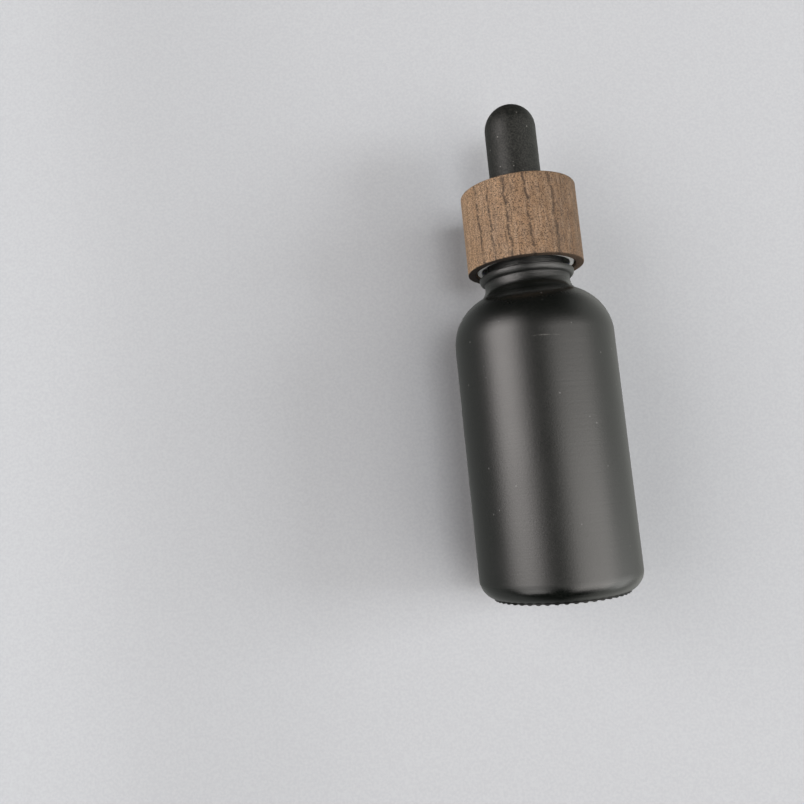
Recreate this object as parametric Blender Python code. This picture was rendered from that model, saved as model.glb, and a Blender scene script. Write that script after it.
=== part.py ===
"""A dropper bottle: a black glass bottle closed by a screw-on dropper with a wooden collar and a rubber bulb.

Metres, +Z up. The bottle stands on its base, and its axis is the Z axis through the origin.
The stack is set out from the bottle's lip: what is below the lip is glass, what is above it is the dropper.
"""

import math

import bmesh
import bpy

# Bottle
BOTTLE_HEIGHT = 0.0785
BODY_RADIUS = 0.0165
BODY_WALL = 0.0020
HEEL_RADIUS = 0.0042
INNER_HEEL_RADIUS = 0.0030
SHOULDER_RADIUS = 0.0106
WAIST_RADIUS = 0.0089  # the plain neck between shoulder and bead
WAIST_HEIGHT = 0.00076
WAIST_FILLET = 0.0033
INNER_FILLET = 0.0020
BEAD_PROUD = 0.00105  # how far the bead stands out from the waist
BEAD_HEIGHT = 0.00135
BEAD_ROUNDING = 0.00035
FINISH_HEIGHT = 0.0117  # top of the bead to the lip
LIP_ROUNDING = 0.0005
NECK_WALL = 0.0025

# Underside of the bottle
PUSH_UP = 0.0012
BASE_THICKNESS = 0.0028
RING_INSET = 0.00275  # the ring's outer edge in from the body's wall
RING_WIDTH = 0.00285
RING_PROUD = 0.00015
KNURL_COUNT = 48
KNURL_DEPTH = 0.00035
KNURL_WIDTH = 0.0010
KNURL_LENGTH = 0.0013

# Thread
THREAD_RADIUS = 0.0089
THREAD_DEPTH = 0.0010
THREAD_LEAD = 0.0030
THREAD_TURNS = 1.5
THREAD_ROOT_HALF = 0.0009
THREAD_CREST_HALF = 0.00035
THREAD_BELOW_LIP = 0.0038  # lip to the top of the thread's helix
THREAD_FADE = 45.0  # degrees over which each end of the thread sinks into the neck
THREAD_END = 4.0  # degrees round from +X to the thread's top end
GROOVE_DEPTH = 0.00035
GROOVE_TURNS = 1.75

# Dropper
COLLAR_WALL = 0.00168
COLLAR_TOP = 0.00133
COLLAR_EDGE = 0.0003
COLLAR_ABOVE_BEAD = 0.00108
CAP_WALL = 0.0010
CAP_TOP = 0.0014
CAP_RECESS = 0.0004
BULB_WALL = 0.00118
BULB_STEP = 0.0005  # the cavity is this much wider in radius than the sleeve that grips the pipette
BULB_SLEEVE = 0.0059
BULB_FLANGE = 0.0015
BULB_STRAIGHT = 0.01407  # collar's top to the start of the dome
PIPETTE_RADIUS = 0.0035
PIPETTE_WALL = 0.0012
PIPETTE_FLARE = 0.0005
PIPETTE_FLARE_HEIGHT = 0.0010
TAPER_LENGTH = 0.0110
TIP_LENGTH = 0.0040
TIP_RADIUS = 0.0012
TIP_BORE = 0.00055
TIP_ABOVE_FLOOR = 0.0080
WASHER_THICKNESS = 0.0010

# Fits
SEAT_GAP = 0.0003  # between pieces that rest on each other
FIT_GAP = 0.0003  # round a piece that passes through or sits in another
THREAD_CLEARANCE = 0.0003  # the neck thread's crest to the cap's bore

# Facets
SIDES = 48
THREAD_SIDES = 24
ARC_STEP = 18.0
SHARP_ANGLE = 35.0
WELD = 1e-6
SINK = 0.0004  # how far a joined or cutting shape runs on past the surface

# Glass, from the lip down
BEAD_TOP = BOTTLE_HEIGHT - FINISH_HEIGHT
BEAD_BOTTOM = BEAD_TOP - BEAD_HEIGHT
BEAD_RADIUS = WAIST_RADIUS + BEAD_PROUD
NECK_RADIUS = THREAD_RADIUS - THREAD_DEPTH
NECK_BORE = NECK_RADIUS - NECK_WALL
INNER_BODY_RADIUS = BODY_RADIUS - BODY_WALL
FLOOR_Z = PUSH_UP + BASE_THICKNESS
RING_OUTER_RADIUS = BODY_RADIUS - RING_INSET
RING_INNER_RADIUS = RING_OUTER_RADIUS - RING_WIDTH
THREAD_TOP_Z = BOTTLE_HEIGHT - THREAD_BELOW_LIP

# Dropper, from the lip up
WASHER_Z = BOTTLE_HEIGHT + SEAT_GAP
FLANGE_Z = WASHER_Z + WASHER_THICKNESS + SEAT_GAP
CAP_UNDER_Z = FLANGE_Z + BULB_FLANGE + SEAT_GAP
CAP_TOP_Z = CAP_UNDER_Z + CAP_TOP
COLLAR_UNDER_Z = CAP_TOP_Z + SEAT_GAP
COLLAR_TOP_Z = COLLAR_UNDER_Z + COLLAR_TOP
COLLAR_Z = BEAD_TOP + COLLAR_ABOVE_BEAD
CAP_Z = COLLAR_Z + CAP_RECESS
DOME_Z = COLLAR_TOP_Z + BULB_STRAIGHT
SLEEVE_TOP_Z = FLANGE_Z + BULB_SLEEVE
PIPETTE_TOP_Z = SLEEVE_TOP_Z + FIT_GAP + PIPETTE_FLARE_HEIGHT
TIP_Z = FLOOR_Z + TIP_ABOVE_FLOOR

# Dropper, from the axis out
SLEEVE_BORE = PIPETTE_RADIUS + FIT_GAP
CAVITY_RADIUS = SLEEVE_BORE + BULB_STEP
BULB_RADIUS = CAVITY_RADIUS + BULB_WALL
BULB_HOLE = BULB_RADIUS + FIT_GAP
CAP_BORE = THREAD_RADIUS + THREAD_CLEARANCE
CAP_RADIUS = CAP_BORE + CAP_WALL
COLLAR_BORE = CAP_RADIUS + FIT_GAP
COLLAR_RADIUS = COLLAR_BORE + COLLAR_WALL
FLANGE_RADIUS = CAP_BORE - FIT_GAP


def clear_scene():
    for obj in list(bpy.data.objects):
        bpy.data.objects.remove(obj, do_unlink=True)


def arc(centre, radius, start, end):
    """Points (r, z) on a circle from one angle to another, in degrees anticlockwise from +r."""
    steps = max(2, math.ceil(abs(end - start) / ARC_STEP))
    angles = [math.radians(start + (end - start) * step / steps) for step in range(steps + 1)]
    return [(centre[0] + radius * math.cos(a), centre[1] + radius * math.sin(a)) for a in angles]


def shoulder_to_neck(shoulder_radius, neck_radius, fillet, neck_z=None, shoulder_z=None):
    """The convex shoulder arc and the fillet that carries it, tangent, into a neck.

    Either the fillet's end neck_z or the shoulder arc's start shoulder_z is given.
    Returns the shoulder's centre height, the fillet's centre height and the shared tangent angle.
    """
    across = neck_radius + fillet - (BODY_RADIUS - SHOULDER_RADIUS)
    up = math.sqrt((shoulder_radius + fillet) ** 2 - across**2)
    if shoulder_z is None:
        shoulder_z = neck_z - up
    return shoulder_z, shoulder_z + up, math.degrees(math.atan2(up, across))


def new_material(name, colour, roughness, metallic=0.0, transmission=0.0):
    material = bpy.data.materials.new(name)
    material.use_nodes = True
    shader = material.node_tree.nodes["Principled BSDF"]
    shader.inputs["Base Color"].default_value = (*colour, 1.0)
    shader.inputs["Roughness"].default_value = roughness
    shader.inputs["Metallic"].default_value = metallic
    shader.inputs["Transmission Weight"].default_value = transmission
    material.diffuse_color = (*colour, 1.0)
    return material


def new_object(name, shape, z=0.0, parent=None, material=None):
    """An object at height z from a bmesh whose heights are world heights."""
    bmesh.ops.translate(shape, verts=shape.verts, vec=(0.0, 0.0, -z))
    bmesh.ops.recalc_face_normals(shape, faces=shape.faces)
    mesh = bpy.data.meshes.new(name)
    shape.to_mesh(mesh)
    shape.free()
    mesh.shade_smooth()
    mesh.set_sharp_from_angle(angle=math.radians(SHARP_ANGLE))
    if material:
        mesh.materials.append(material)
    obj = bpy.data.objects.new(name, mesh)
    bpy.context.collection.objects.link(obj)
    obj.parent = parent
    obj.location = (0.0, 0.0, z - (parent.location.z if parent else 0.0))
    return obj


def turned(outline):
    """A bmesh turned about Z from an outline (r, z), a loop unless both of its ends are on the axis."""
    shape = bmesh.new()
    points = [shape.verts.new((r, 0.0, z)) for r, z in outline]
    on_axis = outline[0][0] == 0.0 and outline[-1][0] == 0.0
    ends = points[1:] if on_axis else points[1:] + points[:1]
    edges = [shape.edges.new(pair) for pair in zip(points, ends)]
    bmesh.ops.spin(
        shape,
        geom=points + edges,
        cent=(0.0, 0.0, 0.0),
        axis=(0.0, 0.0, 1.0),
        angle=math.tau,
        steps=SIDES,
        use_merge=True,
    )
    bmesh.ops.remove_doubles(shape, verts=shape.verts, dist=WELD)
    return shape


def helix(inner, outer, top_z, turns, fade):
    """A trapezoid swept up a right-hand helix of the thread's lead, from r = inner out to r = outer.

    Neck and cap share one helix, because its top end is at one angle and at top_z. Over fade degrees
    at each end its crest sinks to just inside the thread's root.
    """
    shape = bmesh.new()
    sunk = NECK_RADIUS - SINK / 2
    rings = []
    for step in range(round(turns * THREAD_SIDES) + 1):
        turn = step / THREAD_SIDES - turns
        angle = math.tau * turn + math.radians(THREAD_END)
        from_end = 360.0 * min(-turn, turn + turns)
        crest = outer if not fade else sunk + (outer - sunk) * min(1.0, from_end / fade)
        z = top_z + THREAD_LEAD * turn
        section = (
            (inner, z - THREAD_ROOT_HALF),
            (crest, z - THREAD_CREST_HALF),
            (crest, z + THREAD_CREST_HALF),
            (inner, z + THREAD_ROOT_HALF),
        )
        rings.append([shape.verts.new((r * math.cos(angle), r * math.sin(angle), h)) for r, h in section])
    for low, high in zip(rings, rings[1:]):
        for side in range(4):
            after = (side + 1) % 4
            shape.faces.new((low[side], low[after], high[after], high[side]))
    shape.faces.new(rings[0])
    shape.faces.new(rings[-1])
    return shape


def hide_helper(obj):
    obj.hide_render = True
    obj.display_type = "WIRE"


def combine(obj, helper, operation):
    """Joins a helper shape to an object, or cuts it away, and keeps the helper out of the model."""
    hide_helper(helper)
    modifier = obj.modifiers.new(f"{operation.title()} {helper.name}", "BOOLEAN")
    modifier.operation = operation
    modifier.object = helper
    modifier.solver = "EXACT"


def knurl_grooves():
    """Short radial V grooves across the outer edge of the ring that the bottle stands on."""
    shape = bmesh.new()
    inner = RING_OUTER_RADIUS - KNURL_LENGTH
    outer = RING_OUTER_RADIUS + SINK
    slope = 1.0 + SINK / KNURL_DEPTH  # widens the V below the base, so that it is KNURL_WIDTH wide at z = 0
    corners = ((-KNURL_WIDTH / 2 * slope, -SINK), (KNURL_WIDTH / 2 * slope, -SINK), (0.0, KNURL_DEPTH))
    for tooth in range(KNURL_COUNT):
        angle = math.tau * (tooth + 0.5) / KNURL_COUNT
        cos, sin = math.cos(angle), math.sin(angle)
        ends = [
            [shape.verts.new((r * cos - across * sin, r * sin + across * cos, z)) for across, z in corners]
            for r in (inner, outer)
        ]
        for side in range(3):
            after = (side + 1) % 3
            shape.faces.new((ends[0][side], ends[0][after], ends[1][after], ends[1][side]))
        shape.faces.new(ends[0])
        shape.faces.new(ends[1])
    return shape


def bottle_outline():
    heel_centre = (BODY_RADIUS - HEEL_RADIUS, RING_PROUD + HEEL_RADIUS)
    ring_angle = math.degrees(math.acos((RING_OUTER_RADIUS - heel_centre[0]) / HEEL_RADIUS))
    shoulder_r = BODY_RADIUS - SHOULDER_RADIUS
    waist_z = BEAD_BOTTOM - WAIST_HEIGHT
    shoulder_z, fillet_z, tangent = shoulder_to_neck(
        SHOULDER_RADIUS, WAIST_RADIUS, WAIST_FILLET, neck_z=waist_z
    )
    outside = [(0.0, PUSH_UP), (RING_INNER_RADIUS * 0.7, PUSH_UP * 0.75), (RING_INNER_RADIUS, 0.0)]
    outside += [(RING_OUTER_RADIUS, 0.0)]
    outside += arc(heel_centre, HEEL_RADIUS, -ring_angle, 0.0)
    outside += arc((shoulder_r, shoulder_z), SHOULDER_RADIUS, 0.0, tangent)
    outside += arc((WAIST_RADIUS + WAIST_FILLET, fillet_z), WAIST_FILLET, 180.0 + tangent, 180.0)[1:]
    outside += [(WAIST_RADIUS, BEAD_BOTTOM)]
    bead_r = BEAD_RADIUS - BEAD_ROUNDING
    outside += arc((bead_r, BEAD_BOTTOM + BEAD_ROUNDING), BEAD_ROUNDING, -90.0, 0.0)
    outside += arc((bead_r, BEAD_TOP - BEAD_ROUNDING), BEAD_ROUNDING, 0.0, 90.0)
    outside += [(NECK_RADIUS, BEAD_TOP)]
    lip_r, lip_z = NECK_RADIUS - LIP_ROUNDING, BOTTLE_HEIGHT - LIP_ROUNDING
    outside += arc((lip_r, lip_z), LIP_ROUNDING, 0.0, 90.0)

    inner_radius = SHOULDER_RADIUS - BODY_WALL
    _, inner_fillet_z, inner_tangent = shoulder_to_neck(
        inner_radius, NECK_BORE, INNER_FILLET, shoulder_z=shoulder_z
    )
    inside = arc((NECK_BORE + LIP_ROUNDING, lip_z), LIP_ROUNDING, 90.0, 180.0)
    inside += arc((NECK_BORE + INNER_FILLET, inner_fillet_z), INNER_FILLET, 180.0, 180.0 + inner_tangent)
    inside += arc((shoulder_r, shoulder_z), inner_radius, inner_tangent, 0.0)[1:]
    heel_r = INNER_BODY_RADIUS - INNER_HEEL_RADIUS
    inside += arc((heel_r, FLOOR_Z + INNER_HEEL_RADIUS), INNER_HEEL_RADIUS, 0.0, -90.0)
    inside += [(0.0, FLOOR_Z)]
    return outside + inside


def build_bottle():
    material = new_material("black_frosted_glass", (0.020, 0.021, 0.022), 0.42)
    bottle = new_object("glass_bottle", turned(bottle_outline()), material=material)
    thread = helix(NECK_RADIUS - SINK, THREAD_RADIUS, THREAD_TOP_Z, THREAD_TURNS, THREAD_FADE)
    combine(bottle, new_object("neck_thread_shape", thread), "UNION")
    combine(bottle, new_object("knurl_cutter", knurl_grooves()), "DIFFERENCE")


def build_collar(parent):
    """The turned wooden shell, a cup with a hole in its top for the bulb."""
    material = new_material("walnut_wood", (0.330, 0.235, 0.165), 0.70)
    edge_r, edge_z = COLLAR_RADIUS - COLLAR_EDGE, COLLAR_TOP_Z - COLLAR_EDGE
    outline = [(COLLAR_BORE, COLLAR_Z), (COLLAR_RADIUS, COLLAR_Z)]
    outline += arc((edge_r, edge_z), COLLAR_EDGE, 0.0, 90.0)
    outline += [(BULB_HOLE, COLLAR_TOP_Z), (BULB_HOLE, COLLAR_UNDER_Z), (COLLAR_BORE, COLLAR_UNDER_Z)]
    return new_object("wood_collar", turned(outline), COLLAR_Z, parent, material)


def build_inner_cap(parent):
    """The white threaded cap inside the wood. Its groove follows the neck's thread."""
    material = new_material("white_polypropylene", (0.800, 0.795, 0.770), 0.40)
    outline = [(CAP_BORE, CAP_Z), (CAP_RADIUS, CAP_Z), (CAP_RADIUS, CAP_TOP_Z)]
    outline += [(BULB_HOLE, CAP_TOP_Z), (BULB_HOLE, CAP_UNDER_Z), (CAP_BORE, CAP_UNDER_Z)]
    cap = new_object("inner_cap", turned(outline), CAP_Z, parent, material)
    groove = helix(CAP_BORE - SINK, CAP_BORE + GROOVE_DEPTH, THREAD_TOP_Z, GROOVE_TURNS, 0.0)
    combine(cap, new_object("cap_groove_cutter", groove, CAP_Z, parent), "DIFFERENCE")
    return cap


def build_bulb(parent):
    """The hollow rubber bulb, with a flange that the cap clamps and a sleeve that grips the pipette."""
    material = new_material("black_rubber", (0.030, 0.030, 0.031), 0.60)
    flange_top = FLANGE_Z + BULB_FLANGE
    inside = [(0.0, DOME_Z + CAVITY_RADIUS)] + arc((0.0, DOME_Z), CAVITY_RADIUS, 90.0, 0.0)[1:]
    sleeve = [(CAVITY_RADIUS, SLEEVE_TOP_Z), (SLEEVE_BORE, SLEEVE_TOP_Z), (SLEEVE_BORE, FLANGE_Z)]
    flange = [(FLANGE_RADIUS, FLANGE_Z), (FLANGE_RADIUS, flange_top), (BULB_RADIUS, flange_top)]
    outside = arc((0.0, DOME_Z), BULB_RADIUS, 0.0, 90.0)[:-1] + [(0.0, DOME_Z + BULB_RADIUS)]
    return new_object("rubber_bulb", turned(inside + sleeve + flange + outside), FLANGE_Z, parent, material)


def build_pipette(parent):
    """The glass tube, flared at its top where the bulb's sleeve holds it and drawn to a fine tip below."""
    material = new_material("clear_glass", (0.900, 0.920, 0.920), 0.05, transmission=1.0)
    bore = PIPETTE_RADIUS - PIPETTE_WALL
    flare_r = PIPETTE_RADIUS + PIPETTE_FLARE
    flare_z = PIPETTE_TOP_Z - PIPETTE_FLARE_HEIGHT
    taper_z = TIP_Z + TIP_LENGTH
    tube_z = taper_z + TAPER_LENGTH
    outline = [(TIP_BORE, TIP_Z), (TIP_RADIUS, TIP_Z), (TIP_RADIUS, taper_z), (PIPETTE_RADIUS, tube_z)]
    outline += [(PIPETTE_RADIUS, flare_z), (flare_r, flare_z), (flare_r, PIPETTE_TOP_Z)]
    outline += [(bore, PIPETTE_TOP_Z), (bore, tube_z), (TIP_BORE, taper_z)]
    return new_object("glass_pipette", turned(outline), PIPETTE_TOP_Z, parent, material)


def build_washer(parent):
    """The flat ring that seals the dropper to the lip."""
    material = new_material("ivory_liner", (0.780, 0.770, 0.720), 0.55)
    top = WASHER_Z + WASHER_THICKNESS
    outline = [(SLEEVE_BORE, WASHER_Z), (FLANGE_RADIUS, WASHER_Z), (FLANGE_RADIUS, top), (SLEEVE_BORE, top)]
    return new_object("seal_washer", turned(outline), WASHER_Z, parent, material)


def build_dropper():
    """The pieces that unscrew and lift off together, held by one empty on the axis at the lip."""
    dropper = bpy.data.objects.new("dropper", None)
    bpy.context.collection.objects.link(dropper)
    dropper.location = (0.0, 0.0, BOTTLE_HEIGHT)
    for build in (build_washer, build_pipette, build_bulb, build_inner_cap, build_collar):
        build(dropper)


def main():
    clear_scene()
    build_bottle()
    build_dropper()


main()
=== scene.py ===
"""Looks of the dropper bottle: frosted black glass, a turned wooden collar and a black rubber bulb.

Metres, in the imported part's frame. The bottle stands on z = 0 with its axis on Z. It is pictured lying on a
pale table, so the table is an upright plane just behind the body, and the camera looks roughly along +Y.
"""

import math

import bmesh
import bpy
import numpy as np
from mathutils import Matrix, Vector


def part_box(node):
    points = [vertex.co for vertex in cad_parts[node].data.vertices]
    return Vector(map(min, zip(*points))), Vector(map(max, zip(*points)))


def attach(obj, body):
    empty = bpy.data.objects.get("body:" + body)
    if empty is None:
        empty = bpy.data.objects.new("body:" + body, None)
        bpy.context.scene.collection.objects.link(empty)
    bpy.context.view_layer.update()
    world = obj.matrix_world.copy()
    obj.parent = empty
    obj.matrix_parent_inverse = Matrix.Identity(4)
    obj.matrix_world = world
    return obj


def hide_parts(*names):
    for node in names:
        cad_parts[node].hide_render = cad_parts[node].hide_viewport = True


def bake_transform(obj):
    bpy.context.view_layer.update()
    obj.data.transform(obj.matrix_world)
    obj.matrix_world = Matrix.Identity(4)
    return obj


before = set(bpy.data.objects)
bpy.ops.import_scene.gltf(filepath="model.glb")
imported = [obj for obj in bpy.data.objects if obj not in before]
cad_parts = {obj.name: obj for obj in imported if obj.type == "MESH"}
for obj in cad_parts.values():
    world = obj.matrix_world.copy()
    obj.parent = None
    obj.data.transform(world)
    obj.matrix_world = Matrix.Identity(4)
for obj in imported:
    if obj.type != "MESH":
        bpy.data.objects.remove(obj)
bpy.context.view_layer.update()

# Sizes shared with the CAD part, in metres. Heights hang from the lip, as they do there.
BODY_WALL = 0.0020
HEEL_RADIUS = 0.0042
INNER_HEEL_RADIUS = 0.0030
SHOULDER_RADIUS = 0.0106
WAIST_RADIUS = 0.0089
WAIST_HEIGHT = 0.00076
WAIST_FILLET = 0.0033
INNER_FILLET = 0.0020
BEAD_PROUD = 0.00105
BEAD_HEIGHT = 0.00135
FINISH_HEIGHT = 0.0117
LIP_ROUNDING = 0.0005
NECK_WALL = 0.0025
PUSH_UP = 0.0012
BASE_THICKNESS = 0.0028
RING_INSET = 0.00275
RING_WIDTH = 0.00285
RING_PROUD = 0.00015
KNURL_COUNT = 48
THREAD_RADIUS = 0.0089
THREAD_DEPTH = 0.0010
THREAD_LEAD = 0.0030
THREAD_TURNS = 1.5
THREAD_ROOT_HALF = 0.0009
THREAD_CREST_HALF = 0.00035
THREAD_BELOW_LIP = 0.0038
THREAD_FADE = 45.0  # degrees
THREAD_END = 4.0  # degrees
GROOVE_DEPTH = 0.00035
GROOVE_TURNS = 1.75
COLLAR_TOP = 0.00133
COLLAR_EDGE = 0.0003
CAP_WALL = 0.0010
CAP_TOP = 0.0014
BULB_WALL = 0.00118
BULB_STEP = 0.0005
BULB_SLEEVE = 0.0059
BULB_FLANGE = 0.0015
PIPETTE_RADIUS = 0.0035
PIPETTE_WALL = 0.0012
PIPETTE_FLARE_HEIGHT = 0.0010
TAPER_LENGTH = 0.0110
TIP_LENGTH = 0.0040
TIP_RADIUS = 0.0012
TIP_BORE = 0.00055
FIT_GAP = 0.0003

# The looks' own shapes, in metres: eased edges and fillets, and the bead, knurl and push-up as pictured
BEAD_ROUNDING = 0.00025
BEAD_FILLET = 0.0002
BEAD_ROOT = 0.00025  # its underside starts this far out from the waist
BEAD_SIDE = 0.0001  # straight stretch between its underside and its rounded top
NECK_FILLET = 0.0003
PUSH_UP_FULLNESS = 0.8  # below 1 is fuller than a cosine
RING_EDGE = 0.00012
KNURL_DEPTH = 0.00038
KNURL_LENGTH = 0.0014
KNURL_RUN_IN = 0.0007
KNURL_TOP = 0.0004  # the teeth reach this far up the ring's wall
KNURL_SHARPNESS = 1.3
KNURL_PHASE = 2.6  # degrees
GROOVE_FADE = 12.0  # degrees
GROOVE_BELOW_TOP = 0.0002
GROOVE_ABOVE_MOUTH = 0.0003
COLLAR_MOUTH_EDGE = 0.00018
COLLAR_FINE_EDGE = 0.00012
COLLAR_OUT_OF_ROUND = 0.000012
TOOL_MARK_DEPTH = 0.000008
TOOL_MARK_PITCH = 5200.0  # radians per metre of height
CAP_EDGE = 0.00015
CAP_MOUTH_EDGE = 0.00025
BULB_EDGE = 0.00015
BULB_FILLET = 0.00025
BULB_STEP_EDGE = 0.0001
PIPETTE_EASE = 0.00012
FLARE_OPENS_BELOW = 0.0008
FLARE_FOOT_BELOW = 0.0003
FLARE_FOOT_OUT = 0.0001
WASHER_EASE = 0.00018

_, BOTTLE_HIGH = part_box("glass_bottle")
COLLAR_LOW, COLLAR_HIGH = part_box("wood_collar")
CAP_LOW, CAP_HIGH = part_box("inner_cap")
BULB_LOW, BULB_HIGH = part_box("rubber_bulb")
PIPETTE_LOW, PIPETTE_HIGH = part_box("glass_pipette")
WASHER_LOW, WASHER_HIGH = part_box("seal_washer")

BODY_RADIUS = BOTTLE_HIGH.x
LIP_Z = BOTTLE_HIGH.z
BEAD_TOP = LIP_Z - FINISH_HEIGHT
BEAD_BOTTOM = BEAD_TOP - BEAD_HEIGHT
WAIST_Z = BEAD_BOTTOM - WAIST_HEIGHT
NECK_RADIUS = THREAD_RADIUS - THREAD_DEPTH
NECK_BORE = NECK_RADIUS - NECK_WALL
RING_OUTER = BODY_RADIUS - RING_INSET
RING_INNER = RING_OUTER - RING_WIDTH
FLOOR_Z = PUSH_UP + BASE_THICKNESS
THREAD_TOP_Z = LIP_Z - THREAD_BELOW_LIP
SLEEVE_BORE = PIPETTE_RADIUS + FIT_GAP
CAVITY_RADIUS = SLEEVE_BORE + BULB_STEP
BULB_RADIUS = CAVITY_RADIUS + BULB_WALL
BULB_HOLE = BULB_RADIUS + FIT_GAP

# A scuff on the front of the shoulder. The pairs are where it has gone and where it is whole.
SCUFF_Z = 0.0508
SCUFF_X = 0.0024
SCUFF_BOW = -12.0  # per metre
SCUFF_HALF_WIDTH = (0.00013, 0.00004)
SCUFF_HALF_LENGTH = (0.0028, 0.0016)

# Heights where a surface changes, each from where the change starts to where it is complete
WAIST_GLASS = (WAIST_Z - 0.0016, WAIST_Z - 0.0002)
SHOULDER_TOP_GLASS = (WAIST_Z - 0.0125, WAIST_Z - 0.0035)
LOW_HEEL_GLASS = (0.0040, 0.0026)
DUSTY_GLASS = (0.006, 0.012)
WOOD_TOP = (COLLAR_HIGH.z - 0.00030, COLLAR_HIGH.z - 0.00012)
WOOD_END_GRAIN_AND_SHADE = (COLLAR_LOW.z + 0.00020, COLLAR_LOW.z + 0.00004)

# Facets
BOTTLE_SIDES = 288
COLLAR_SIDES = 192
CAP_SIDES = 144
BULB_SIDES = 144
PIPETTE_SIDES = 72
WASHER_SIDES = 96
THREAD_STEP = 0.00012
PUSH_UP_ROWS = 12
TAPER_ROWS = 14
SHARP_ANGLE = 38.0  # degrees
WELD = 1e-7


# Shapes -------------------------------------------------------------------------------------------


def arc(centre, radius, start, end, step):
    """Points (r, z) on a circle from one angle to another, in degrees anticlockwise from +r."""
    count = max(3, math.ceil(abs(end - start) / step))
    angles = np.radians(np.linspace(start, end, count + 1))
    return [(centre[0] + radius * math.cos(a), centre[1] + radius * math.sin(a)) for a in angles]


def line(start, end, step):
    """Points (r, z) from start to end, about a step apart, without the start."""
    count = max(1, math.ceil(math.dist(start, end) / step))
    return [
        (start[0] + (end[0] - start[0]) * k / count, start[1] + (end[1] - start[1]) * k / count)
        for k in range(1, count + 1)
    ]


def smooth(x):
    """An ease from 0 at 0 to 1 at 1."""
    x = np.clip(x, 0.0, 1.0)
    return x * x * (3.0 - 2.0 * x)


def turned(name, outline, sides, form=None, material_of=None, materials=()):
    """A mesh object turned about Z from a closed outline, or one whose two ends are on the axis.

    form(r, z, angle) reshapes the grid of points. material_of(row) picks the material of the faces from
    that row to the next.
    """
    rows = np.array(outline, float)
    angle = np.arange(sides) * math.tau / sides
    r = np.repeat(rows[:, :1], sides, axis=1)
    z = np.repeat(rows[:, 1:], sides, axis=1)
    if form:
        r, z = form(r, z, angle[None, :])
    points = np.stack([r * np.cos(angle), r * np.sin(angle), z], axis=-1).reshape(-1, 3)
    open_ended = rows[0, 0] == 0.0 and rows[-1, 0] == 0.0
    spans = len(rows) - 1 if open_ended else len(rows)
    faces = []
    kinds = []
    for row in range(spans):
        after = (row + 1) % len(rows)
        for side in range(sides):
            beside = (side + 1) % sides
            here, there = row * sides, after * sides
            faces.append((here + side, here + beside, there + beside, there + side))
            kinds.append(material_of(row) if material_of else 0)
    mesh = bpy.data.meshes.new(name)
    mesh.from_pydata(points.tolist(), [], faces)
    for material in materials:
        mesh.materials.append(material)
    mesh.polygons.foreach_set("material_index", kinds)
    shape = bmesh.new()
    shape.from_mesh(mesh)
    bmesh.ops.remove_doubles(shape, verts=shape.verts, dist=WELD)
    bmesh.ops.recalc_face_normals(shape, faces=shape.faces)
    shape.to_mesh(mesh)
    shape.free()
    mesh.shade_smooth()
    mesh.set_sharp_from_angle(angle=math.radians(SHARP_ANGLE))
    obj = bpy.data.objects.new(name, mesh)
    bpy.context.scene.collection.objects.link(obj)
    return obj


def on_thread(z, angle, turns, fade):
    """How far the thread stands out at each point, from 0 to 1."""
    height = np.zeros(np.broadcast(z, angle).shape)
    for lap in range(-1, 3):
        turn = (angle - math.radians(THREAD_END)) / math.tau - lap
        off = np.abs(z - (THREAD_TOP_Z + THREAD_LEAD * turn))
        flank = smooth((THREAD_ROOT_HALF - off) / (THREAD_ROOT_HALF - THREAD_CREST_HALF))
        from_end = 360.0 * np.minimum(-turn, turn + turns)
        rise = smooth(from_end / fade) * (from_end > 0)
        height = np.maximum(height, flank * rise)
    return height


# Materials ----------------------------------------------------------------------------------------


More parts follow.
